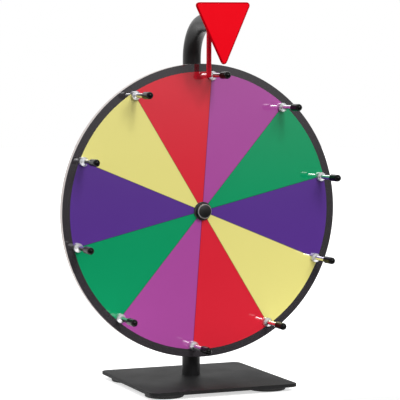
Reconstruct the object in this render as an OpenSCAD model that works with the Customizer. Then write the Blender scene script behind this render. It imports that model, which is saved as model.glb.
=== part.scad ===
// Tabletop prize wheel: a round ten-colour wheel on a black gooseneck stand.
// Frame: millimetres, +Z up, wheel facing -Y, origin on the ground under the
// middle of the base plate.

/* [Base] */
// width of the steel base plate
plate_w = 162; // [140:1:200]
// depth of the steel base plate
plate_d = 154.5; // [140:0.5:200]
// thickness of the steel base plate
plate_t = 3.5; // [2:0.5:6]
// corner radius of the base plate
plate_r = 8; // [3:1:15]
// radius of each round rubber pad
pad_r = 19.8; // [12:0.2:24]
// thickness of each rubber pad
pad_t = 4.6; // [3.2:0.1:8]
// distance of the pads from the plate's left and right edges
pad_side_in = 4.4; // [1:0.2:10]
// distance of the pads from the plate's front and rear edges
pad_end_in = 7.8; // [1:0.2:10]

/* [Gooseneck tube] */
// outer radius of the tube
tube_r = 9.5; // [8.5:0.25:11]
// wall of the tube
tube_wall = 1.5; // [1:0.25:2.5]
// distance of the tube's axis behind the middle of the plate
tube_y = 17.5; // [14:0.1:22]
// height of the forward run above the wheel's axle
neck_rise = 194; // [190:1:210]
// radius of the tube's bend, at its axis
bend_r = 35; // [28:1:45]
// length of the threaded insert in the tube's foot
insert_l = 20; // [16:1:40]
// length of the plug inside the tube's front end
plug_l = 12; // [6:1:16]
// thickness of the plug's flange
plug_flange_t = 2; // [1:0.5:4]

/* [Base screw] */
// radius of the screw's thread
base_screw_r = 4; // [3:0.5:5]
// radius of the screw's flat head
base_head_r = 6.5; // [6:0.5:9]
// height of the screw's flat head
base_head_h = 2.0; // [1.2:0.1:2.2]
// length of thread inside the insert
base_thread_l = 13; // [8:1:14]
// thickness of the washer under the plate
base_washer_t = 0.8; // [0.5:0.1:0.9]

/* [Wheel] */
// radius of the wheel
wheel_r = 152.4; // [147:0.2:160]
// thickness of the white board
board_t = 7; // [5:0.5:7]
// thickness of the printed film
film_t = 0.5; // [0.3:0.1:1]
// width of the dark band round the rim
band_w = 8.2; // [5:0.2:9]
// height of the axle above the ground
axle_z = 183.5; // [176:0.5:200]
// distance of the wheel's printed face in front of the plate's middle
face_out = 12.4; // [11:0.1:20]
// angle of the first peg and colour joint above the wheel's right side
wheel_phase = 13.9; // [12:0.1:15]

/* [Pegs] */
// radius of the circle on which the pegs stand
peg_circle_r = 140.5; // [139.5:0.5:141]
// radius of the bare chrome rod
peg_r = 2.45; // [2:0.05:2.6]
// radius of the peg's round foot
peg_foot_r = 4.7; // [4:0.1:5.5]
// height of the straight part of the peg's foot
peg_foot_h = 4; // [1:0.1:5]
// height of the sloping shoulder above the foot
peg_shoulder_h = 1.5; // [0.5:0.1:3]
// height at which the rubber cap begins
peg_cap_start = 27.5; // [22:0.5:32]
// radius of the rubber cap
peg_cap_r = 3.7; // [3.3:0.1:4.2]
// full height of a peg with its cap
peg_h = 44; // [40:0.5:46]
// radius of the peg's threaded tail
peg_tail_r = 2; // [1.5:0.1:2.2]
// thickness of the washers behind the board
peg_washer_t = 0.8; // [0.5:0.1:1.5]
// across-flats size of the peg nuts
peg_nut_af = 7; // [6:0.1:8]
// height of the peg nuts
peg_nut_h = 3.2; // [2:0.1:4]

/* [Hub and bearings] */
// radius of the axle
axle_r = 3; // [2.5:0.1:3.2]
// outer radius of each ball bearing
race_r = 7.5; // [7.3:0.1:8.5]
// width of each ball bearing
race_w = 5; // [4.6:0.1:5.2]
// thickness of each bearing ring
race_t = 1.1; // [0.9:0.1:1.2]
// radius of the balls
ball_r = 1.4; // [1.3:0.05:1.5]
// gap between the two bearings
race_gap = 1.4; // [0.8:0.1:1.6]
// radius of the hub's flange
flange_r = 25; // [23:0.5:32]
// thickness of the hub's flange
flange_t = 3; // [2:0.5:5]
// wall of the hub's boss round the bearings
boss_wall = 4; // [2:0.5:5]
// radius of the circle of hub screws
hub_screw_circle_r = 18; // [16.5:0.5:19]
// radius of the hub screws
hub_screw_r = 1.5; // [1:0.1:2]
// depth of the hub screws in the board
hub_screw_depth = 4; // [2:0.5:4.5]
// radius of the black washer on the wheel's face
hub_washer_r = 9.65; // [9:0.05:12]
// thickness of the black washer
hub_washer_t = 1.5; // [1:0.1:2.5]
// across-flats size of the axle nut and bolt head
nut_af = 10; // [9:0.1:10.5]
// height of the axle nut
nut_h = 4; // [3:0.1:5]
// outer radius of the black hub cap
cap_r = 7.65; // [7.2:0.05:9]
// thickness of the hub cap's front
cap_roof_t = 1.1; // [0.8:0.1:2]
// height of the axle bolt's head
bolt_head_h = 4; // [3:0.5:6]
// least thickness of the saddle washer behind the tube
saddle_t = 1.2; // [0.8:0.1:3]

/* [Pointer and flapper] */
// distance of the pointer's front in front of the wheel's face
pointer_out = 55.9; // [54:0.5:62]
// thickness of the red pointer plate
pointer_t = 3; // [2:0.5:5]
// half the distance between the pointer's upper corner centres
pointer_half_w = 25.1; // [20:0.5:30]
// radius of the pointer's corners
pointer_corner_r = 3.6; // [2:0.2:5]
// height of the pointer's top above the axle
pointer_top = 212.6; // [208:0.2:225]
// height of the pointer's tip above the axle
pointer_tip = 151.6; // [145:0.2:170]
// turn of the pointer about its tip, right side up
pointer_roll = 1.3; // [-3:0.1:3]
// thickness of the adhesive tape behind the pointer
tape_t = 0.8; // [0.4:0.1:1.5]
// radius of the red flapper
flapper_r = 2.6; // [2.2:0.05:2.7]
// distance of the flapper in front of the wheel's face
flapper_out = 16.1; // [12:0.2:20]
// depth of the flapper's tip below the peg circle's top
flapper_dip = 3; // [1:0.1:3.4]
// radius of the flapper's head inside the tube
flapper_head_r = 4.4; // [3.5:0.1:5]

/* [Clearances] */
// running clearance of the balls in their tracks
ball_clear = 0.05; // [0.02:0.01:0.08]
// clearance of bolts in drilled holes
hole_clear = 0.15; // [0.1:0.01:0.25]
// gap between the turning face and the fixed washer
face_gap = 0.4; // [0.3:0.05:0.8]
// gap between the flapper and the tube
flapper_gap = 0.4; // [0.3:0.05:0.8]
// gap round the fixed sleeve in the turning wheel
sleeve_gap = 1.2; // [0.5:0.1:2]
// gap between the bearings' faces and the pieces beside them
side_gap = 0.4; // [0.3:0.05:0.6]
// gap between the nut's corners and the hub cap
nut_gap = 0.05; // [0.03:0.01:0.2]

/* [Hidden] */
$fn = 96;
peg_n = 10;
step = 360 / peg_n;
plate_z = pad_t;
pad_x = plate_w / 2 - pad_side_in - pad_r;
pad_y = plate_d / 2 - pad_end_in - pad_r;
foot_z = pad_t + plate_t;
neck_z = axle_z + neck_rise;
tube_in = tube_r - tube_wall;
face_y = -face_out;
wheel_t = board_t + film_t;
band_in = wheel_r - band_w;
peg_nut_back = -wheel_t - peg_washer_t - peg_nut_h;
// the wheel's own depths are counted from its printed face, forward positive
tube_front = -(tube_y - tube_r - face_y);
tube_back = -(tube_y + tube_r - face_y);
race_front = -wheel_t - side_gap;
race_mid = race_front - race_w;
race_mid2 = race_mid - race_gap;
race_back = race_mid2 - race_w;
boss_back = race_back - side_gap;
pitch_r = (axle_r + race_r) / 2;
ball_n = 9;
sleeve_r = axle_r + race_t + 0.1;
wheel_hole_r = sleeve_r + sleeve_gap;
washer_front = face_gap + hub_washer_t;
nut_corner_r = nut_af / 2 / cos(30);
axle_front = washer_front + nut_h + 0.3;
cap_front = axle_front + 0.2 + cap_roof_t;
saddle_back = tube_back - saddle_t;
saddle_r = nut_corner_r + 0.4;
pointer_y = face_y - pointer_out;
plug_y = pointer_y + pointer_t + tape_t;
tube_end_y = plug_y + plug_flange_t;
flapper_y = face_y - flapper_out;
neck_under = neck_z - tube_r;
flapper_z = neck_under - flapper_gap - flapper_r;
flapper_tip = axle_z + peg_circle_r - flapper_dip;
head_z = neck_z - sqrt(tube_in * tube_in - flapper_head_r * flapper_head_r) + 0.05;

// a rectangle with round corners
module rounded(w, d, r) {
  square([w - 2 * r, d], center = true);
  square([w, d - 2 * r], center = true);
  for (x = [-1, 1], y = [-1, 1])
    translate([x * (w / 2 - r), y * (d / 2 - r)]) circle(r);
}

// from the wheel's own depths to the shared frame
module on_wheel() {
  translate([0, face_y, axle_z]) rotate([90, 0, 0]) children();
}

// once at each peg
module at_pegs() {
  for (i = [0 : peg_n - 1])
    rotate(wheel_phase + i * step) translate([peg_circle_r, 0, 0]) children();
}

// once at each hub screw
module at_hub_screws() {
  for (i = [0 : 3]) rotate(45 + i * 90) translate([hub_screw_circle_r, 0, 0]) children();
}

// the path of the bent tube, at a given radius
module bent_rod(r, z0, y1) {
  translate([0, tube_y, z0]) cylinder(r = r, h = neck_z - bend_r - z0);
  translate([0, tube_y - bend_r, neck_z - bend_r]) rotate([90, 0, 90])
    rotate_extrude(angle = 90) translate([bend_r, 0]) circle(r);
  translate([0, tube_y - bend_r, neck_z]) rotate([90, 0, 0])
    cylinder(r = r, h = tube_y - bend_r - y1);
}

module base_plate() color([0.1, 0.1, 0.1]) {
  difference() {
    translate([0, 0, plate_z]) linear_extrude(plate_t) rounded(plate_w, plate_d, plate_r);
    translate([0, tube_y, plate_z - 1]) cylinder(r = base_screw_r + hole_clear, h = plate_t + 2);
  }
}

module foot_pads() color([0.03, 0.03, 0.03]) {
  for (x = [-1, 1], y = [-1, 1])
    translate([x * pad_x, y * pad_y, 0]) cylinder(r = pad_r, h = pad_t);
}

module base_screw() color([0.6, 0.6, 0.62]) {
  translate([0, tube_y, plate_z - base_washer_t - base_head_h]) cylinder(r = base_head_r, h = base_head_h);
  translate([0, tube_y, plate_z - base_washer_t - 0.1])
    cylinder(r = base_screw_r, h = base_washer_t + plate_t + base_thread_l + 0.1);
}

module base_washer() color([0.62, 0.62, 0.64]) {
  translate([0, tube_y, plate_z - base_washer_t]) difference() {
    cylinder(r = base_head_r + 1.5, h = base_washer_t);
    translate([0, 0, -1]) cylinder(r = base_screw_r + hole_clear, h = base_washer_t + 2);
  }
}

module tube_insert() color([0.5, 0.5, 0.52]) {
  translate([0, tube_y, foot_z]) difference() {
    cylinder(r = tube_in, h = insert_l);
    translate([0, 0, -1]) cylinder(r = base_screw_r, h = base_thread_l + 2);
  }
}

module neck_tube() color([0.1, 0.1, 0.1]) {
  difference() {
    bent_rod(tube_r, foot_z, tube_end_y);
    bent_rod(tube_in, foot_z - 1, tube_end_y - 1);
    translate([0, tube_y, axle_z]) rotate([90, 0, 0])
      cylinder(r = axle_r + hole_clear, h = 4 * tube_r, center = true);
    translate([0, flapper_y, neck_z - 2 * tube_r]) cylinder(r = flapper_r, h = 2 * tube_r);
  }
}

module end_plug() color([0.05, 0.05, 0.05]) {
  translate([0, plug_y, neck_z]) rotate([-90, 0, 0]) {
    cylinder(r = tube_r, h = plug_flange_t);
    cylinder(r = tube_in, h = plug_flange_t + plug_l);
  }
}

module pointer_tape() color([0.85, 0.85, 0.82]) {
  translate([0, plug_y - tape_t, neck_z]) rotate([-90, 0, 0]) cylinder(r = tube_r - 0.5, h = tape_t);
}

// the pointer's outline: three round corners and the straight sides between
module pointer_outline() {
  top = pointer_top - pointer_corner_r;
  low = pointer_tip + pointer_corner_r;
  side = atan2(pointer_half_w, top - low);
  nx = cos(side) * pointer_corner_r;
  ny = -sin(side) * pointer_corner_r;
  polygon([[nx, low + ny], [pointer_half_w + nx, top + ny], [pointer_half_w, top + pointer_corner_r],
    [-pointer_half_w, top + pointer_corner_r], [-pointer_half_w - nx, top + ny], [-nx, low + ny]]);
  for (c = [[0, low], [pointer_half_w, top], [-pointer_half_w, top]])
    translate(c) circle(pointer_corner_r);
}

module pointer_plate() color([0.9, 0.02, 0.08]) {
  translate([0, pointer_y + pointer_t, axle_z + pointer_tip]) rotate([90, 0, 0])
    linear_extrude(pointer_t) rotate(pointer_roll) translate([0, -pointer_tip]) pointer_outline();
}

module flapper_root() color([0.75, 0.05, 0.1]) {
  translate([0, flapper_y, neck_under]) cylinder(r = flapper_r, h = head_z - neck_under + 1);
  translate([0, flapper_y, head_z]) cylinder(r = flapper_head_r, h = 3.5);
}

module flapper_finger() color([0.75, 0.05, 0.1]) {
  translate([0, flapper_y, flapper_tip + flapper_r])
    cylinder(r = flapper_r, h = flapper_z - flapper_tip - flapper_r);
  translate([0, flapper_y, flapper_tip + flapper_r]) sphere(flapper_r);
  translate([0, flapper_y, flapper_z]) sphere(flapper_r);
}

module axle_bolt() color([0.6, 0.6, 0.62]) on_wheel() {
  translate([0, 0, saddle_back]) cylinder(r = axle_r, h = axle_front - saddle_back);
  translate([0, 0, saddle_back - bolt_head_h]) cylinder(r = nut_corner_r, h = bolt_head_h, $fn = 6);
}

module saddle_washer() color([0.08, 0.08, 0.08]) difference() {
  on_wheel() difference() {
    translate([0, 0, saddle_back]) cylinder(r = saddle_r, h = saddle_t + tube_r / 2);
    translate([0, 0, saddle_back - 1]) cylinder(r = axle_r + hole_clear, h = saddle_t + tube_r + 2);
  }
  translate([0, tube_y, axle_z - 30]) cylinder(r = tube_r, h = 60);
}

module saddle_spacer() color([0.6, 0.6, 0.62]) difference() {
  on_wheel() difference() {
    translate([0, 0, tube_front - tube_r / 2])
      cylinder(r = sleeve_r, h = race_back - tube_front + tube_r / 2);
    translate([0, 0, tube_front - tube_r])
      cylinder(r = axle_r, h = race_back - tube_front + tube_r + 2);
  }
  translate([0, tube_y, axle_z - 30]) cylinder(r = tube_r, h = 60);
}

// one bearing ring between two radii, with its ball track
module ring(r0, r1, z0) {
  translate([0, 0, z0]) rotate_extrude() difference() {
    translate([r0, 0]) square([r1 - r0, race_w]);
    translate([pitch_r, race_w / 2]) circle(ball_r + ball_clear);
  }
}

module bearing_inner_rings() color([0.7, 0.7, 0.72]) on_wheel() {
  ring(axle_r, axle_r + race_t, race_mid);
  ring(axle_r, axle_r + race_t, race_back);
}

module bearing_outer_rings() color([0.7, 0.7, 0.72]) on_wheel() {
  ring(race_r - race_t, race_r, race_mid);
  ring(race_r - race_t, race_r, race_back);
}

module balls(r) {
  for (z = [race_mid, race_back], i = [0 : ball_n - 1])
    rotate(i * 360 / ball_n) translate([pitch_r, 0, z + race_w / 2]) sphere(r);
}

module bearing_balls() color([0.75, 0.75, 0.77]) on_wheel() balls(ball_r);

module bearing_cages() color([0.5, 0.42, 0.2]) on_wheel() difference() {
  for (z = [race_mid, race_back]) translate([0, 0, z + race_w / 2 - ball_r - 0.4]) difference() {
    cylinder(r = race_r - race_t - 0.4, h = ball_r);
    translate([0, 0, -1]) cylinder(r = axle_r + race_t + 0.4, h = ball_r + 2);
  }
  balls(ball_r);
}

module ring_spacer() color([0.6, 0.6, 0.62]) on_wheel() difference() {
  translate([0, 0, race_mid2]) cylinder(r = axle_r + race_t, h = race_gap);
  translate([0, 0, race_mid2 - 1]) cylinder(r = axle_r, h = race_gap + 2);
}

module hub_flange() color([0.09, 0.09, 0.09]) on_wheel() difference() {
  union() {
    translate([0, 0, -wheel_t - flange_t]) cylinder(r = flange_r, h = flange_t);
    translate([0, 0, boss_back]) cylinder(r = race_r + boss_wall, h = -wheel_t - boss_back);
  }
  translate([0, 0, boss_back - 1]) cylinder(r = race_r, h = 40);
  translate([0, 0, -wheel_t - flange_t - 1]) at_hub_screws()
    cylinder(r = hub_screw_r + hole_clear, h = flange_t + 2);
}

module hub_screws() color([0.6, 0.6, 0.62]) on_wheel() at_hub_screws() {
  translate([0, 0, -wheel_t - flange_t]) cylinder(r = hub_screw_r, h = flange_t + hub_screw_depth);
  translate([0, 0, -wheel_t - flange_t - 1.8]) cylinder(r = hub_screw_r + 1.3, h = 1.8);
}

module wheel_board() color([0.9, 0.9, 0.88]) on_wheel() difference() {
  translate([0, 0, -wheel_t]) cylinder(r = wheel_r, h = board_t, $fn = 180);
  translate([0, 0, -wheel_t - 1]) cylinder(r = wheel_hole_r, h = wheel_t + 2);
  translate([0, 0, -wheel_t - 1]) at_pegs() cylinder(r = peg_tail_r, h = wheel_t + 2);
  translate([0, 0, -wheel_t - 1]) at_hub_screws() cylinder(r = hub_screw_r, h = hub_screw_depth + 1);
}

module rim_band() color([0.25, 0.23, 0.25]) on_wheel() {
  translate([0, 0, -film_t]) rotate_extrude($fn = 180) translate([band_in, 0]) square([band_w, film_t]);
}

// the two opposite wedges of one colour
module wedges(k) {
  on_wheel() difference() {
    for (i = [k, k + 5]) translate([0, 0, -film_t]) rotate(wheel_phase + i * step)
      rotate_extrude(angle = step, $fn = 180) translate([wheel_hole_r, 0])
        square([band_in - wheel_hole_r, film_t]);
    translate([0, 0, -film_t - 1]) at_pegs() cylinder(r = peg_tail_r, h = film_t + 2);
  }
}

module wedges_green() color([0.04, 0.55, 0.33]) wedges(0);

module wedges_magenta() color([0.66, 0.28, 0.6]) wedges(1);

module wedges_red() color([0.86, 0.14, 0.2]) wedges(2);

module wedges_yellow() color([0.92, 0.88, 0.45]) wedges(3);

module wedges_violet() color([0.35, 0.2, 0.54]) wedges(4);

module face_sleeve() color([0.6, 0.6, 0.62]) on_wheel() difference() {
  translate([0, 0, race_front]) cylinder(r = sleeve_r, h = face_gap - race_front);
  translate([0, 0, race_front - 1]) cylinder(r = axle_r, h = face_gap - race_front + 2);
}

module hub_washer() color([0.08, 0.08, 0.08]) on_wheel() difference() {
  translate([0, 0, face_gap]) cylinder(r = hub_washer_r, h = hub_washer_t);
  cylinder(r = axle_r, h = washer_front + 1);
}

module axle_nut() color([0.6, 0.6, 0.62]) on_wheel() difference() {
  translate([0, 0, washer_front]) cylinder(r = nut_corner_r, h = nut_h, $fn = 6);
  cylinder(r = axle_r, h = washer_front + nut_h + 1);
}

module hub_cap() color([0.03, 0.03, 0.03]) on_wheel() difference() {
  cap_h = cap_front - washer_front;
  translate([0, 0, washer_front]) rotate_extrude()
    polygon([[0, 0], [cap_r, 0], [cap_r, cap_h - 1], [cap_r - 1, cap_h], [0, cap_h]]);
  translate([0, 0, washer_front - 1]) cylinder(r = nut_corner_r + nut_gap, h = cap_h - cap_roof_t + 1);
}

module peg_posts() color([0.82, 0.82, 0.84]) on_wheel() at_pegs() {
  tail_end = peg_nut_back - 1;
  rotate_extrude() polygon([[0, tail_end], [peg_tail_r, tail_end], [peg_tail_r, 0], [peg_foot_r, 0],
    [peg_foot_r, peg_foot_h], [peg_r, peg_foot_h + peg_shoulder_h],
    [peg_r, peg_h - peg_cap_r], [0, peg_h - peg_cap_r]]);
}

module peg_caps() color([0.02, 0.02, 0.02]) on_wheel() at_pegs() difference() {
  union() {
    translate([0, 0, peg_cap_start]) cylinder(r = peg_cap_r, h = peg_h - peg_cap_r - peg_cap_start);
    translate([0, 0, peg_h - peg_cap_r]) sphere(peg_cap_r);
  }
  translate([0, 0, peg_cap_start - 5]) cylinder(r = peg_r, h = peg_h - peg_cap_r - peg_cap_start + 5);
}

module peg_washers() color([0.7, 0.7, 0.72]) on_wheel() at_pegs() difference() {
  translate([0, 0, -wheel_t - peg_washer_t]) cylinder(r = peg_foot_r, h = peg_washer_t);
  translate([0, 0, -wheel_t - peg_washer_t - 1]) cylinder(r = peg_tail_r + hole_clear, h = peg_washer_t + 2);
}

module peg_nuts() color([0.7, 0.7, 0.72]) on_wheel() at_pegs() difference() {
  translate([0, 0, peg_nut_back]) cylinder(r = peg_nut_af / 2 / cos(30), h = peg_nut_h, $fn = 6);
  translate([0, 0, peg_nut_back - 1]) cylinder(r = peg_tail_r, h = peg_nut_h + 2);
}

base_plate();
foot_pads();
base_screw();
base_washer();
tube_insert();
neck_tube();
end_plug();
pointer_tape();
pointer_plate();
flapper_root();
flapper_finger();
axle_bolt();
saddle_washer();
saddle_spacer();
bearing_inner_rings();
bearing_outer_rings();
bearing_balls();
bearing_cages();
ring_spacer();
hub_flange();
hub_screws();
wheel_board();
rim_band();
wedges_green();
wedges_magenta();
wedges_red();
wedges_yellow();
wedges_violet();
face_sleeve();
hub_washer();
axle_nut();
hub_cap();
peg_posts();
peg_caps();
peg_washers();
peg_nuts();
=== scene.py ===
import bmesh
import bpy
from math import atan2, cos, pi, radians, sin, sqrt, tan
from mathutils import Matrix, Vector


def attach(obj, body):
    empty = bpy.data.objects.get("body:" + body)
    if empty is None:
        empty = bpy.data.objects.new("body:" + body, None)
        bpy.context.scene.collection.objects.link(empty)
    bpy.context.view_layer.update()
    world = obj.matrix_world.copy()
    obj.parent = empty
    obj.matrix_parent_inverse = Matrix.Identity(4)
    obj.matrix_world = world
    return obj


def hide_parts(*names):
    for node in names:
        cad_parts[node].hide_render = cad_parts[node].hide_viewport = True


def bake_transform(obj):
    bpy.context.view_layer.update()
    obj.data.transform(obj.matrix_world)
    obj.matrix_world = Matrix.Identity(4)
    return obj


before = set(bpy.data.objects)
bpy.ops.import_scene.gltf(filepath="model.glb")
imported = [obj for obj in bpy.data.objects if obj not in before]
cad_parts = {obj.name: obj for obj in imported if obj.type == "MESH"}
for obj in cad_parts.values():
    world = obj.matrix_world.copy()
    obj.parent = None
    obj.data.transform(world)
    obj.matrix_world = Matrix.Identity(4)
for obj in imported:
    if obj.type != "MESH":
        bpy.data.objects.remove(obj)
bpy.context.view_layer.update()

# Camera and studio. The wheel is seen from its front left at about axle height,
# with a long lens, on a pale sweep of paper under large soft lamps.
scene = bpy.context.scene
scene.view_settings.view_transform = "Standard"
turn = radians(-22.728)
rise = radians(3.524)
roll = radians(0.1625)
back = Vector((sin(turn) * cos(rise), -cos(turn) * cos(rise), sin(rise)))
right = Vector((0, 0, 1)).cross(back).normalized()
up = back.cross(right)
level_right = right * cos(roll) + up * sin(roll)
level_up = up * cos(roll) - right * sin(roll)
lens = bpy.data.cameras.new("photo_camera")
lens.sensor_width = 36
lens.lens = 36 * 1649.3 / 400
lens.clip_end = 50
camera = bpy.data.objects.new("photo_camera", lens)
camera.matrix_world = Matrix((level_right, level_up, back)).transposed().to_4x4()
camera.location = (-0.66206, -1.58645, 0.3001)
scene.collection.objects.link(camera)
scene.camera = camera


def keep(mesh_maker, name, sharp=35):
    """Turns a finished bmesh into an object at the origin, smooth but for its sharp edges."""
    mesh = bpy.data.meshes.new(name)
    bmesh.ops.recalc_face_normals(mesh_maker, faces=mesh_maker.faces[:])
    mesh_maker.to_mesh(mesh)
    mesh_maker.free()
    mesh.shade_smooth()
    mesh.set_sharp_from_angle(angle=radians(sharp))
    made = bpy.data.objects.new(name, mesh)
    scene.collection.objects.link(made)
    return made


def new_finish(name):
    """A material with its shader, ready for a surface to be wired in."""
    finish = bpy.data.materials.new(name)
    finish.use_nodes = True
    return finish, finish.node_tree.nodes, finish.node_tree.links, finish.node_tree.nodes["Principled BSDF"]


paper = bmesh.new()
sheet = bmesh.ops.create_grid(paper, x_segments=1, y_segments=1, size=4)["verts"]
bmesh.ops.translate(paper, vec=(0, 3.87, 0), verts=sheet)
floor = keep(paper, "paper_floor")
paper_white, nodes, links, shader = new_finish("paper_white")
grain = nodes.new("ShaderNodeTexNoise")
grain.inputs["Scale"].default_value = 60
tint = nodes.new("ShaderNodeMixRGB")
tint.inputs["Color1"].default_value = (0.86, 0.86, 0.86, 1)
tint.inputs["Color2"].default_value = (0.88, 0.88, 0.88, 1)
links.new(grain.outputs["Fac"], tint.inputs["Fac"])
links.new(tint.outputs["Color"], shader.inputs["Base Color"])
shader.inputs["Roughness"].default_value = 0.9
shader.inputs["Specular IOR Level"].default_value = 0.1
shader.inputs["Emission Color"].default_value = (1, 1, 1, 1)
shader.inputs["Emission Strength"].default_value = 0.6
floor.data.materials.append(paper_white)

# the room: white behind the wheel, most on the left, dim in front of it, and paler overhead
sky = bpy.data.worlds.new("white_room")
sky.use_nodes = True
nodes, links = sky.node_tree.nodes, sky.node_tree.links
way = nodes.new("ShaderNodeTexCoord")
heading = nodes.new("ShaderNodeSeparateXYZ")
links.new(way.outputs["Generated"], heading.inputs["Vector"])
levels = []
for axis, start, stop, low, high in (("Y", -0.2, 0.7, 0.03, 1.0), ("X", -0.8, 0.7, 1.0, 0.35),
                                   ("Z", -0.1, 0.2, 0.0, 0.8)):
    level = nodes.new("ShaderNodeMapRange")
    level.interpolation_type = "SMOOTHSTEP"
    level.inputs["From Min"].default_value = start
    level.inputs["From Max"].default_value = stop
    level.inputs["To Min"].default_value = low
    level.inputs["To Max"].default_value = high
    links.new(heading.outputs[axis], level.inputs["Value"])
    levels.append(level)
around = nodes.new("ShaderNodeMath")
around.operation = "MULTIPLY_ADD"
for level, socket in zip(levels, around.inputs):
    links.new(level.outputs["Result"], socket)
seen = nodes.new("ShaderNodeLightPath")
backdrop = nodes.new("ShaderNodeMapRange")
backdrop.inputs["To Max"].default_value = 1.0
links.new(seen.outputs["Is Camera Ray"], backdrop.inputs["Value"])
links.new(around.outputs["Value"], backdrop.inputs["To Min"])
nodes["Background"].inputs["Color"].default_value = (1, 1, 1, 1)
links.new(backdrop.outputs["Result"], nodes["Background"].inputs["Strength"])
scene.world = sky
for name, place, size, power, aim in (
        ("key_softbox", (0.25, -1.7, 1.15), 0.7, 20, (0, 0, 0.2)),
        ("small_lamp", (0.1, -1.5, 1.5), 0.12, 4, (0, 0, 0.2)),
        ("top_softbox", (0.0, 0.5, 1.6), 1.0, 4, (0, 0, 0.1))):
    lamp = bpy.data.lights.new(name, "AREA")
    lamp.size = size
    lamp.energy = power
    holder = bpy.data.objects.new(name, lamp)
    holder.location = place
    holder.rotation_euler = (Vector(aim) - Vector(place)).to_track_quat("-Z", "Y").to_euler()
    scene.collection.objects.link(holder)

# Base plate. A laser-cut steel plate with round corners, its edges eased before
# it is powder coated in a fine-textured black.
MM = 0.001
plate_w, plate_d, plate_t, plate_r = 162 * MM, 154.5 * MM, 3.5 * MM, 8 * MM
pad_t = 4.6 * MM
bm = bmesh.new()
sheet = bmesh.ops.create_grid(bm, x_segments=1, y_segments=1, size=0.5)["verts"]
bmesh.ops.scale(bm, vec=(plate_w, plate_d, 1), verts=sheet)
bmesh.ops.translate(bm, vec=(0, 0, pad_t), verts=sheet)
bmesh.ops.bevel(bm, geom=sheet, offset=plate_r, affect="VERTICES", segments=10, profile=0.5, material=-1)
grown = bmesh.ops.extrude_face_region(bm, geom=bm.faces[:], use_keep_orig=True)["geom"]
bmesh.ops.translate(bm, vec=(0, 0, plate_t), verts=[g for g in grown if isinstance(g, bmesh.types.BMVert)])
bmesh.ops.recalc_face_normals(bm, faces=bm.faces[:])
rims = [e for e in bm.edges if e.calc_face_angle() > radians(60)]
bmesh.ops.bevel(bm, geom=rims, offset=0.6 * MM, affect="EDGES", segments=3, profile=0.5, material=-1)
plate = keep(bm, "base_plate_coated")

# the shared wear: two tones and two glosses mixed by a soft cloud, and a fine height
worn = bpy.data.node_groups.new("worn_surface", "ShaderNodeTree")
for label, kind, value in (
        ("Tone", "NodeSocketColor", (0.5, 0.5, 0.5, 1)), ("Other tone", "NodeSocketColor", (0.6, 0.6, 0.6, 1)),
        ("Low gloss", "NodeSocketFloat", 0.4), ("High gloss", "NodeSocketFloat", 0.5),
        ("Cloud scale", "NodeSocketFloat", 40.0), ("Fine scale", "NodeSocketFloat", 1500.0)):
    worn.interface.new_socket(name=label, in_out="INPUT", socket_type=kind).default_value = value
for label, kind in (("Color", "NodeSocketColor"), ("Roughness", "NodeSocketFloat"), ("Height", "NodeSocketFloat")):
    worn.interface.new_socket(name=label, in_out="OUTPUT", socket_type=kind)
inside = worn.nodes
entry = inside.new("NodeGroupInput")
leave = inside.new("NodeGroupOutput")
spot = inside.new("ShaderNodeTexCoord")
cloud = inside.new("ShaderNodeTexNoise")
cloud.inputs["Detail"].default_value = 6
fine = inside.new("ShaderNodeTexNoise")
fine.inputs["Detail"].default_value = 3
shade = inside.new("ShaderNodeMixRGB")
gloss = inside.new("ShaderNodeMapRange")
join = worn.links.new
join(spot.outputs["Object"], cloud.inputs["Vector"])
join(spot.outputs["Object"], fine.inputs["Vector"])
join(entry.outputs["Cloud scale"], cloud.inputs["Scale"])
join(entry.outputs["Fine scale"], fine.inputs["Scale"])
join(cloud.outputs["Fac"], shade.inputs["Fac"])
join(entry.outputs["Tone"], shade.inputs["Color1"])
join(entry.outputs["Other tone"], shade.inputs["Color2"])
join(cloud.outputs["Fac"], gloss.inputs["Value"])
gloss.inputs["From Min"].default_value = 0.3
gloss.inputs["From Max"].default_value = 0.7
join(entry.outputs["Low gloss"], gloss.inputs["To Min"])
join(entry.outputs["High gloss"], gloss.inputs["To Max"])
join(shade.outputs["Color"], leave.inputs["Color"])
join(gloss.outputs["Result"], leave.inputs["Roughness"])
join(fine.outputs["Fac"], leave.inputs["Height"])


def worn_finish(name, tone, other, low, high, cloud_scale, fine_scale, depth, metal=0.0):
    """A finish on the shared wear. depth is the height of its fine texture in metres."""
    finish, nodes, links, shader = new_finish(name)
    wear = nodes.new("ShaderNodeGroup")
    wear.node_tree = worn
    wear.inputs["Tone"].default_value = (*tone, 1)
    wear.inputs["Other tone"].default_value = (*other, 1)
    wear.inputs["Low gloss"].default_value = low
    wear.inputs["High gloss"].default_value = high
    wear.inputs["Cloud scale"].default_value = cloud_scale
    wear.inputs["Fine scale"].default_value = fine_scale
    bump = nodes.new("ShaderNodeBump")
    bump.inputs["Strength"].default_value = 1.0
    bump.inputs["Distance"].default_value = depth
    links.new(wear.outputs["Color"], shader.inputs["Base Color"])
    links.new(wear.outputs["Roughness"], shader.inputs["Roughness"])
    links.new(wear.outputs["Height"], bump.inputs["Height"])
    links.new(bump.outputs["Normal"], shader.inputs["Normal"])
    shader.inputs["Metallic"].default_value = metal
    return finish


powder_black = worn_finish("powder_black", (0.006, 0.006, 0.0063), (0.010, 0.010, 0.0104), 0.34, 0.42, 25, 1400, 0.00008)
plate_black = worn_finish("plate_black", (0.008, 0.008, 0.0083), (0.012, 0.012, 0.0124), 0.50, 0.60, 25, 1400, 0.00008)
plate_black.node_tree.nodes["Principled BSDF"].inputs["Specular IOR Level"].default_value = 0.08
powder_black.node_tree.nodes["Principled BSDF"].inputs["Specular IOR Level"].default_value = 0.22
plate.data.materials.append(plate_black)
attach(plate, "stand")
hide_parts("base_plate")

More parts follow.
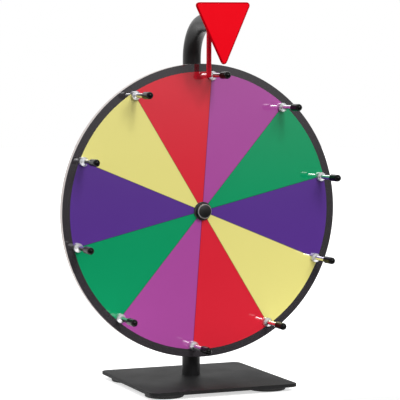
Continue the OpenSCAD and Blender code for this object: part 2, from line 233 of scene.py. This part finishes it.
# Rubber pads. Four round pads stamped from black rubber sheet, glued under the
# corners of the plate so that it doesn't slide on the table.
pad_r = 19.8 * MM
pad_x = plate_w / 2 - 4.4 * MM - pad_r
pad_y = plate_d / 2 - 7.8 * MM - pad_r


def turned(bm, profile, centre, axis=(0, 0, 1), steps=48, sweep=2 * pi):
    """Adds a turned shape: profile is (radius, height) from the axis, spun about it at centre."""
    axis = Vector(axis)
    side = Vector((1, 0, 0))
    points = [bm.verts.new(Vector(centre) + side * r + axis * h) for r, h in profile]
    edges = [bm.edges.new(pair) for pair in zip(points, points[1:])]
    whole = sweep >= 2 * pi
    spun = bmesh.ops.spin(bm, geom=points + edges, cent=centre, axis=axis, angle=sweep, steps=steps,
                          use_merge=whole, use_duplicate=False)
    bmesh.ops.remove_doubles(bm, verts=bm.verts[:], dist=1e-7)
    return spun


bm = bmesh.new()
for x in (-pad_x, pad_x):
    for y in (-pad_y, pad_y):
        turned(bm, [(0, 0), (pad_r - 0.5 * MM, 0), (pad_r, 0.5 * MM), (pad_r, pad_t - 0.3 * MM),
                    (pad_r - 0.3 * MM, pad_t), (0, pad_t)], (x, y, 0))
pads = keep(bm, "rubber_pads")
pad_rubber = worn_finish("pad_rubber", (0.012, 0.012, 0.012), (0.02, 0.02, 0.02), 0.65, 0.8, 60, 2500, 0.00006)
pads.data.materials.append(pad_rubber)
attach(pads, "stand")
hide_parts("foot_pads")

# Base screw, washer and insert. A flat-headed zinc-plated screw passes up through
# a washer and the plate into a threaded steel insert in the tube's foot.
tube_y = 17.5 * MM


def hexed(bm, flats, low, high, centre, axis, ease, hole=0):
    """Adds a six-sided nut or bolt head with its corners turned off."""
    corner = flats / 2 / cos(pi / 6)
    tilt = Vector((0, 0, 1)).rotation_difference(Vector(axis)).to_matrix().to_4x4()
    levels = ((low, corner - ease), (low + ease * 0.6, corner), (high - ease * 0.6, corner), (high, corner - ease))
    rings = []
    for height, radius in levels:
        ring = bmesh.ops.create_circle(bm, segments=6, radius=radius,
                                       matrix=Matrix.Translation(centre) @ tilt @ Matrix.Translation((0, 0, height)))
        rings.append(ring["verts"])
    for a, b in zip(rings, rings[1:]):
        for i in range(6):
            bm.faces.new((a[i], a[(i + 1) % 6], b[(i + 1) % 6], b[i]))
    bm.faces.new(rings[0])
    bm.faces.new(rings[-1])


zinc_steel = worn_finish("zinc_steel", (0.50, 0.50, 0.52), (0.62, 0.62, 0.60), 0.25, 0.42, 180, 3000, 0.00003, 1.0)
bm = bmesh.new()
turned(bm, [(0, -2.8 * MM), (5.6 * MM, -2.8 * MM), (6.2 * MM, -2.5 * MM), (6.5 * MM, -1.9 * MM),
            (6.5 * MM, -0.8 * MM), (0, -0.8 * MM)], (0, tube_y, pad_t))
screw = keep(bm, "base_screw_head")
screw.data.materials.append(zinc_steel)
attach(screw, "stand")
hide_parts("base_screw")
bm = bmesh.new()
turned(bm, [(0, -0.8 * MM), (7.8 * MM, -0.8 * MM), (8 * MM, -0.6 * MM), (8 * MM, -0.1 * MM), (7.9 * MM, 0), (0, 0)],
       (0, tube_y, pad_t))
washer = keep(bm, "base_washer_disc")
washer.data.materials.append(zinc_steel)
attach(washer, "stand")
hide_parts("base_washer")
for name in ("tube_insert",):
    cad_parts[name].data.materials.clear()
    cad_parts[name].data.materials.append(zinc_steel)

# Gooseneck tube. Round steel tube, mandrel-bent once through a right angle and
# powder coated with the plate; the wheel's axle passes through it.
tube_r, bend_r = 9.5 * MM, 35 * MM
axle_z, face_y = 183.5 * MM, -12.4 * MM
neck_z = axle_z + 194 * MM
pointer_y = face_y - 55.9 * MM
plug_y = pointer_y + 3.8 * MM
tube_end_y = plug_y + 2 * MM
bm = bmesh.new()
ring = bmesh.ops.create_circle(bm, segments=64, radius=tube_r, cap_ends=True,
                               matrix=Matrix.Translation((0, tube_y, pad_t + plate_t)))
ends = [e for v in ring["verts"] for e in v.link_edges]
ends = list(dict.fromkeys(ends))
leg = bmesh.ops.extrude_edge_only(bm, edges=ends)["geom"]
bmesh.ops.translate(bm, vec=(0, 0, neck_z - bend_r - pad_t - plate_t),
                    verts=[g for g in leg if isinstance(g, bmesh.types.BMVert)])
lip = [g for g in leg if isinstance(g, bmesh.types.BMEdge)]
bent = bmesh.ops.spin(bm, geom=lip + [g for g in leg if isinstance(g, bmesh.types.BMVert)],
                      cent=(0, tube_y - bend_r, neck_z - bend_r), axis=(1, 0, 0), angle=pi / 2, steps=32,
                      use_merge=False, use_duplicate=False)["geom_last"]
run = bmesh.ops.extrude_edge_only(bm, edges=[g for g in bent if isinstance(g, bmesh.types.BMEdge)])["geom"]
bmesh.ops.translate(bm, vec=(0, tube_end_y - (tube_y - bend_r), 0),
                    verts=[g for g in run if isinstance(g, bmesh.types.BMVert)])
bmesh.ops.holes_fill(bm, edges=[g for g in run if isinstance(g, bmesh.types.BMEdge)], sides=0)
bmesh.ops.remove_doubles(bm, verts=bm.verts[:], dist=1e-7)
tube = keep(bm, "gooseneck_tube")
tube.data.materials.append(powder_black)
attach(tube, "stand")
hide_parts("neck_tube")

# End plug and tape. A moulded black plug is pushed into the tube's front end, and
# a round of foam tape on its flange holds the pointer.
black_plastic = worn_finish("black_plastic", (0.018, 0.018, 0.018), (0.028, 0.028, 0.028), 0.35, 0.5, 70, 2200, 0.00003)
bm = bmesh.new()
turned(bm, [(0, 0), (8.7 * MM, 0), (9.3 * MM, 0.3 * MM), (9.5 * MM, 0.9 * MM), (9.5 * MM, 1.9 * MM), (8 * MM, 2 * MM),
            (8 * MM, 13.4 * MM), (7.4 * MM, 14 * MM), (0, 14 * MM)], (0, plug_y, neck_z), axis=(0, 1, 0))
plug = keep(bm, "tube_end_plug")
plug.data.materials.append(black_plastic)
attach(plug, "stand")
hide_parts("end_plug")
foam_tape = worn_finish("foam_tape", (0.72, 0.72, 0.69), (0.64, 0.64, 0.61), 0.8, 0.9, 200, 4000, 0.00008)
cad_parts["pointer_tape"].data.materials.clear()
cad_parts["pointer_tape"].data.materials.append(foam_tape)

# Pointer. A triangle with round corners cut from opaque red sheet plastic, its edges polished,
# standing point down in front of the top of the wheel; a darker red on its rim ring, sides and back is painted shade.
corner_r, half_w = 3.6 * MM, 25.1 * MM
top_z, low_z = axle_z + 209 * MM, axle_z + 155.2 * MM
side = atan2(half_w, top_z - low_z)
bm = bmesh.new()
tip_z = low_z - corner_r / sin(side)
head_z = top_z + corner_r
spread = (head_z - tip_z) * tan(side)
corners = [bm.verts.new(p) for p in ((0, pointer_y + 3 * MM, tip_z), (spread, pointer_y + 3 * MM, head_z),
                                     (-spread, pointer_y + 3 * MM, head_z))]
bm.faces.new(corners)
bmesh.ops.bevel(bm, geom=[corners[0]], offset=corner_r / tan(side), affect="VERTICES", segments=12, profile=0.5,
                material=-1)
upper = [v for v in bm.verts if v.co.z > head_z - 1e-6]
bmesh.ops.bevel(bm, geom=upper, offset=corner_r / tan((pi / 2 - side) / 2), affect="VERTICES", segments=12,
                profile=0.5, material=-1)
grown = bmesh.ops.extrude_face_region(bm, geom=bm.faces[:], use_keep_orig=True)["geom"]
bmesh.ops.translate(bm, vec=(0, -3 * MM, 0), verts=[g for g in grown if isinstance(g, bmesh.types.BMVert)])
bmesh.ops.rotate(bm, cent=(0, pointer_y, low_z - corner_r), verts=bm.verts[:],
                 matrix=Matrix.Rotation(-radians(1.3), 3, "Y"))
bmesh.ops.recalc_face_normals(bm, faces=bm.faces[:])
front = min(bm.faces, key=lambda f: f.calc_center_median().y)
# painted shade: every face starts in slot 1, the darker red, and only the inset front keeps the bright red
for f in bm.faces:
    f.material_index = 1
bmesh.ops.inset_region(bm, faces=[front], thickness=1.2 * MM)
front.material_index = 0
rims = [e for e in bm.edges if e.calc_face_angle() > radians(60)]
bmesh.ops.bevel(bm, geom=rims, offset=0.35 * MM, affect="EDGES", segments=3, profile=0.5, material=-1)
pointer = keep(bm, "red_pointer")
pointer_red = worn_finish("pointer_red", (0.82, 0.0005, 0.008), (0.86, 0.001, 0.010), 0.30, 0.40, 30, 900, 0.00001)
# the darker red here is painted shade for the rim ring, sides and back
pointer_rim_painted_shade = worn_finish("pointer_rim_painted_shade", (0.38, 0.0005, 0.004), (0.42, 0.001, 0.005), 0.25, 0.35, 30, 900, 0.00001)
pointer_red.node_tree.nodes["Principled BSDF"].inputs["Specular IOR Level"].default_value = 0.05
pointer_rim_painted_shade.node_tree.nodes["Principled BSDF"].inputs["Specular IOR Level"].default_value = 0.0
pointer.data.materials.append(pointer_red)
pointer.data.materials.append(pointer_rim_painted_shade)
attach(pointer, "stand")
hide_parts("pointer_plate")

# Flapper. A soft red plastic rod with a round tip, held by its head inside the tube; the real rod
# bends as each peg pushes past it, and clicks, but here it is one straight, rigid mesh.
flapper_r, flapper_y = 2.6 * MM, face_y - 16.1 * MM
neck_under = neck_z - tube_r
flapper_tip = axle_z + 137.5 * MM
bm = bmesh.new()
rise_h = neck_under + 3 * MM - flapper_tip
outline = [(flapper_r * sin(a * pi / 20), flapper_r * (1 - cos(a * pi / 20))) for a in range(11)]
outline += [(flapper_r, flapper_r + (rise_h - flapper_r) * i / 48) for i in range(1, 49)]
turned(bm, outline + [(0, rise_h)], (0, flapper_y, flapper_tip), steps=32)
flapper = keep(bm, "red_flapper")
flapper_red = worn_finish("flapper_red", (0.60, 0.002, 0.016), (0.66, 0.003, 0.020), 0.25, 0.38, 60, 1800, 0.00002)
flapper_red.node_tree.nodes["Principled BSDF"].inputs["Specular IOR Level"].default_value = 0.12
flapper.data.materials.append(flapper_red)
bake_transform(flapper)
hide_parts("flapper_root", "flapper_finger")

# Axle, saddle washer and spacers. A zinc-plated bolt clamps the bearings' inner
# rings to the tube; a curved washer seats its head on the round tube.
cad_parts["saddle_washer"].data.materials.clear()
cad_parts["saddle_washer"].data.materials.append(black_plastic)
saddle_back = -(tube_y + tube_r - face_y) - 1.2 * MM
bm = bmesh.new()
hexed(bm, 10 * MM, saddle_back - 4 * MM, saddle_back, (0, face_y, axle_z), (0, -1, 0), 0.6 * MM)
turned(bm, [(0, saddle_back - 0.1 * MM), (3 * MM, saddle_back - 0.1 * MM), (3 * MM, 5.8 * MM), (2.6 * MM, 6.2 * MM), (0, 6.2 * MM)],
       (0, face_y, axle_z), axis=(0, -1, 0))
bolt = keep(bm, "axle_bolt_hex")
bolt.data.materials.append(zinc_steel)
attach(bolt, "stand")
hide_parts("axle_bolt")
for name in ("saddle_spacer", "ring_spacer", "face_sleeve"):
    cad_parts[name].data.materials.clear()
    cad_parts[name].data.materials.append(zinc_steel)

# Ball bearings. Two small ball bearings side by side, ground steel rings and balls
# in pressed brass cages, in the hub behind the wheel.
bearing_steel = worn_finish("bearing_steel", (0.60, 0.60, 0.62), (0.66, 0.66, 0.67), 0.12, 0.2, 300, 5000, 0.00001, 1.0)
cage_brass = worn_finish("cage_brass", (0.62, 0.46, 0.17), (0.52, 0.37, 0.13), 0.25, 0.4, 300, 4000, 0.00002, 1.0)
for name in ("bearing_inner_rings", "bearing_outer_rings", "bearing_balls"):
    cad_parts[name].data.materials.clear()
    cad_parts[name].data.materials.append(bearing_steel)
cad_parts["bearing_cages"].data.materials.clear()
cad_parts["bearing_cages"].data.materials.append(cage_brass)

# Hub. A moulded black flange with a boss for the bearings, held to the back of the
# board by four short pan-head screws.
wheel_t, flange_back, boss_back = 7.5 * MM, -10.5 * MM, -19.7 * MM
bm = bmesh.new()
turned(bm, [(7.5 * MM, -wheel_t), (24.6 * MM, -wheel_t), (25 * MM, -wheel_t - 0.3 * MM), (25 * MM, flange_back + 0.6 * MM),
            (24.4 * MM, flange_back), (12.6 * MM, flange_back), (11.8 * MM, flange_back - 0.3 * MM),
            (11.5 * MM, flange_back - 1 * MM), (11.5 * MM, boss_back + 0.5 * MM), (11 * MM, boss_back),
            (7.9 * MM, boss_back), (7.5 * MM, boss_back + 0.3 * MM), (7.5 * MM, -wheel_t)],
       (0, face_y, axle_z), axis=(0, -1, 0), steps=64)
hub = keep(bm, "hub_moulding")
hub.data.materials.append(black_plastic)
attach(hub, "wheel")
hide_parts("hub_flange")
bm = bmesh.new()
for i in range(4):
    a = radians(45 + 90 * i)
    turned(bm, [(0, flange_back - 1.4 * MM), (0.7 * MM, flange_back - 1.4 * MM), (0.9 * MM, flange_back - 1.8 * MM),
                (1.9 * MM, flange_back - 1.7 * MM), (2.6 * MM, flange_back - 1.2 * MM), (2.8 * MM, flange_back - 0.5 * MM),
                (2.8 * MM, flange_back), (1.5 * MM, flange_back), (1.5 * MM, -3.7 * MM), (0, -3.5 * MM)],
           (18 * MM * cos(a), face_y, axle_z + 18 * MM * sin(a)), axis=(0, -1, 0), steps=24)
screws = keep(bm, "hub_screw_set")
screws.data.materials.append(zinc_steel)
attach(screws, "wheel")
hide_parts("hub_screws")

# Wheel board. A disc cut from white foamed plastic sheet, its edge left bare and
# its corners just broken.
wheel_r, hole_r = 152.4 * MM, 5.4 * MM
bm = bmesh.new()
turned(bm, [(hole_r, -0.5 * MM), (152.25 * MM, -0.5 * MM), (wheel_r, -0.7 * MM), (wheel_r, 0.3 * MM - wheel_t), (152.1 * MM, -wheel_t),
            (hole_r, -wheel_t), (hole_r, -0.5 * MM)], (0, face_y, axle_z), axis=(0, -1, 0), steps=240)
board = keep(bm, "white_board")
board_white = worn_finish("board_white", (0.50, 0.45, 0.435), (0.46, 0.415, 0.40), 0.6, 0.75, 90, 2600, 0.00008)
board.data.materials.append(board_white)
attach(board, "wheel")
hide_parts("wheel_board")

# Printed film. One glossy printed film covers the board: a dark band round the rim
# and ten wedges in five colours, under a clear wipe-off coat.
band_in = wheel_r - 8.2 * MM
phase = 13.9


# the shared joint line: a thin dark line along each ray where two colours meet
joint = bpy.data.node_groups.new("joint_line", "ShaderNodeTree")
joint.interface.new_socket(name="Ink", in_out="INPUT", socket_type="NodeSocketColor")
joint.interface.new_socket(name="Color", in_out="OUTPUT", socket_type="NodeSocketColor")
entry = joint.nodes.new("NodeGroupInput")
leave = joint.nodes.new("NodeGroupOutput")
spot = joint.nodes.new("ShaderNodeTexCoord")
from_axle = joint.nodes.new("ShaderNodeVectorMath")
from_axle.operation = "SUBTRACT"
from_axle.inputs[1].default_value = (0, face_y, axle_z)
reach = joint.nodes.new("ShaderNodeVectorMath")
reach.operation = "LENGTH"
sides = joint.nodes.new("ShaderNodeSeparateXYZ")
join = joint.links.new
join(spot.outputs["Object"], from_axle.inputs[0])
join(from_axle.outputs["Vector"], reach.inputs[0])
join(from_axle.outputs["Vector"], sides.inputs["Vector"])
steps = []
for operation, value in (("ARCTAN2", None), ("SUBTRACT", radians(phase)), ("PINGPONG", radians(18)), ("MULTIPLY", None)):
    math = joint.nodes.new("ShaderNodeMath")
    math.operation = operation
    if value is not None:
        math.inputs[1].default_value = value
    if steps:
        join(steps[-1].outputs["Value"], math.inputs[0])
    steps.append(math)
join(sides.outputs["Z"], steps[0].inputs[0])
join(sides.outputs["X"], steps[0].inputs[1])
join(reach.outputs["Value"], steps[3].inputs[1])
shadow = joint.nodes.new("ShaderNodeMapRange")
shadow.inputs["From Min"].default_value = 0.1 * MM
shadow.inputs["From Max"].default_value = 0.6 * MM
shadow.inputs["To Min"].default_value = 0.45
shadow.inputs["To Max"].default_value = 1.0
join(steps[3].outputs["Value"], shadow.inputs["Value"])
darken = joint.nodes.new("ShaderNodeMixRGB")
darken.blend_type = "MULTIPLY"
darken.inputs["Fac"].default_value = 1.0
join(entry.outputs["Ink"], darken.inputs["Color1"])
join(shadow.outputs["Result"], darken.inputs["Color2"])
join(darken.outputs["Color"], leave.inputs["Color"])


def film_finish(name, tone, other):
    """The printed film: a solid ink with a faint cloud in it, under a clear gloss."""
    finish = worn_finish(name, tone, other, 0.30, 0.36, 12, 700, 0.000002)
    shader = finish.node_tree.nodes["Principled BSDF"]
    nodes, links = finish.node_tree.nodes, finish.node_tree.links
    seam = nodes.new("ShaderNodeGroup")
    seam.node_tree = joint
    links.new(shader.inputs["Base Color"].links[0].from_socket, seam.inputs["Ink"])
    links.new(seam.outputs["Color"], shader.inputs["Base Color"])
    shader.inputs["Coat Weight"].default_value = 1.0
    shader.inputs["Coat Roughness"].default_value = 0.02
    shader.inputs["Coat IOR"].default_value = 2.1
    shader.inputs["Specular IOR Level"].default_value = 0.0
    return finish


bm = bmesh.new()
turned(bm, [(band_in, -0.5 * MM), (band_in, 0), (152.2 * MM, 0), (wheel_r, -0.15 * MM), (wheel_r, -0.5 * MM), (band_in, -0.5 * MM)],
       (0, face_y, axle_z), axis=(0, -1, 0), steps=240)
band = keep(bm, "rim_print")
band.data.materials.append(film_finish("film_dark", (0.036, 0.032, 0.036), (0.044, 0.039, 0.044)))
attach(band, "wheel")
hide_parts("rim_band")
for k, (colour, tone, other) in enumerate((
        ("green", (0.003, 0.30, 0.115), (0.005, 0.33, 0.13)),
        ("magenta", (0.40, 0.07, 0.33), (0.43, 0.08, 0.36)),
        ("red", (0.70, 0.018, 0.036), (0.74, 0.024, 0.045)),
        ("yellow", (0.83, 0.76, 0.235), (0.86, 0.79, 0.255)),
        ("violet", (0.095, 0.032, 0.26), (0.105, 0.038, 0.28)))):
    bm = bmesh.new()
    for i in (k, k + 5):
        part = bmesh.new()
        turned(part, [(hole_r, -0.5 * MM), (hole_r, 0), (band_in, 0), (band_in, -0.5 * MM), (hole_r, -0.5 * MM)],
               (0, face_y, axle_z), axis=(0, -1, 0), steps=36, sweep=radians(36))
        bmesh.ops.holes_fill(part, edges=[e for e in part.edges if e.is_boundary], sides=0)
        bmesh.ops.rotate(part, cent=(0, face_y, axle_z), verts=part.verts[:],
                         matrix=Matrix.Rotation(-radians(phase + 36 * i), 3, (0, 1, 0)))
        sector = bpy.data.meshes.new("sector")
        part.to_mesh(sector)
        part.free()
        bm.from_mesh(sector)
        bpy.data.meshes.remove(sector)
    wedge = keep(bm, "print_" + colour)
    wedge.data.materials.append(film_finish("film_" + colour, tone, other))
    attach(wedge, "wheel")
    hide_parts("wedges_" + colour)

# Pegs. Ten turned and chromed posts stand on the colour joints; each has a round
# foot with a sloping shoulder, a threaded tail with a washer and nut behind the
# board, and a black rubber cap with a ball end.
peg_ring = [(140.5 * MM * cos(radians(phase + 36 * i)), 140.5 * MM * sin(radians(phase + 36 * i))) for i in range(10)]
chrome = worn_finish("peg_chrome", (0.82, 0.82, 0.84), (0.86, 0.86, 0.87), 0.04, 0.08, 120, 3000, 0.0000002, 1.0)
cap_rubber = worn_finish("cap_rubber", (0.003, 0.003, 0.003), (0.005, 0.005, 0.005), 0.18, 0.26, 150, 3000, 0.000004)
cap_rubber.node_tree.nodes["Principled BSDF"].inputs["Specular IOR Level"].default_value = 0.12
foot_satin = worn_finish("peg_foot_satin", (0.62, 0.62, 0.64), (0.68, 0.68, 0.70), 0.36, 0.44, 120, 3000, 0.000002, 1.0)
for name, node, body, profile, finish, slot in (
        ("chrome_posts", "peg_posts", "wheel",
         [(0, -12.5 * MM), (1.7 * MM, -12.5 * MM), (2 * MM, -12.2 * MM), (2 * MM, 0), (4.5 * MM, 0), (4.7 * MM, 0.2 * MM),
          (4.7 * MM, 3.7 * MM), (4.5 * MM, 4.05 * MM), (2.75 * MM, 5.3 * MM), (2.45 * MM, 5.7 * MM), (2.45 * MM, 40.3 * MM), (0, 40.3 * MM)],
         chrome, "peg_chrome"),
        ("rubber_caps", "peg_caps", "wheel",
         [(2.45 * MM, 27.5 * MM), (3.4 * MM, 27.5 * MM), (3.7 * MM, 27.8 * MM), (3.7 * MM, 40.3 * MM)]
         + [(3.7 * MM * cos(a * pi / 24), (40.3 + 3.7 * sin(a * pi / 24)) * MM) for a in range(1, 13)],
         cap_rubber, "cap_rubber"),
        ("peg_washer_set", "peg_washers", "wheel",
         [(2.15 * MM, -7.5 * MM), (4.7 * MM, -7.5 * MM), (4.7 * MM, -8.1 * MM), (4.5 * MM, -8.3 * MM), (2.15 * MM, -8.3 * MM),
          (2.15 * MM, -7.5 * MM)],
         zinc_steel, "zinc_steel")):
    bm = bmesh.new()
    for x, z in peg_ring:
        turned(bm, profile, (x, face_y, axle_z + z), axis=(0, -1, 0), steps=32)
    for f in bm.faces:
        depth = face_y - f.calc_center_median().y
        f.material_index = 1 if name == "chrome_posts" and 0 <= depth < 5.5 * MM else 0
    group = keep(bm, name)
    group.data.materials.append(finish)
    if name == "chrome_posts":
        group.data.materials.append(foot_satin)
    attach(group, body)
    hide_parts(node)
bm = bmesh.new()
for x, z in peg_ring:
    hexed(bm, 7 * MM, -11.5 * MM, -8.3 * MM, (x, face_y, axle_z + z), (0, -1, 0), 0.4 * MM)
nuts = keep(bm, "peg_nut_set")
nuts.data.materials.append(zinc_steel)
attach(nuts, "wheel")
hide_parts("peg_nuts")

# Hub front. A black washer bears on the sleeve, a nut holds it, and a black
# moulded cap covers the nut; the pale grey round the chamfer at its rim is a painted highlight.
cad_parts["axle_nut"].data.materials.clear()
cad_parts["axle_nut"].data.materials.append(zinc_steel)
bm = bmesh.new()
turned(bm, [(3 * MM, 0.4 * MM), (9.5 * MM, 0.4 * MM), (9.65 * MM, 0.6 * MM), (9.65 * MM, 1.5 * MM), (9.3 * MM, 1.9 * MM), (3 * MM, 1.9 * MM), (3 * MM, 0.4 * MM)],
       (0, face_y, axle_z), axis=(0, -1, 0), steps=64)
front_washer = keep(bm, "hub_washer_black")
front_washer.data.materials.append(black_plastic)
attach(front_washer, "stand")
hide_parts("hub_washer")
bm = bmesh.new()
turned(bm, [(7.4 * MM, 1.9 * MM), (7.65 * MM, 2.1 * MM), (7.65 * MM, 6.4 * MM), (7.4 * MM, 6.8 * MM), (6.75 * MM, 7.4 * MM), (6.4 * MM, 7.5 * MM), (0, 7.5 * MM)],
       (0, face_y, axle_z), axis=(0, -1, 0), steps=64)
# the chamfer faces take slot 1, a pale grey that is a painted highlight
for f in bm.faces:
    middle = f.calc_center_median() - Vector((0, face_y, axle_z))
    f.material_index = 1 if -7.35 * MM < middle.y < -6.5 * MM and abs(f.normal.y) < 0.98 else 0
hub_cap = keep(bm, "black_hub_cap")
cap_black = worn_finish("cap_black", (0.006, 0.006, 0.006), (0.009, 0.009, 0.009), 0.28, 0.4, 90, 2400, 0.00002)
# a pale grey that paints the highlight on the cap's chamfer
cap_chamfer_painted_highlight = worn_finish("cap_chamfer_painted_highlight", (0.20, 0.20, 0.19), (0.26, 0.26, 0.25), 0.3, 0.4, 90, 2400, 0.00002)
hub_cap.data.materials.append(cap_black)
hub_cap.data.materials.append(cap_chamfer_painted_highlight)
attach(hub_cap, "stand")
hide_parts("hub_cap")
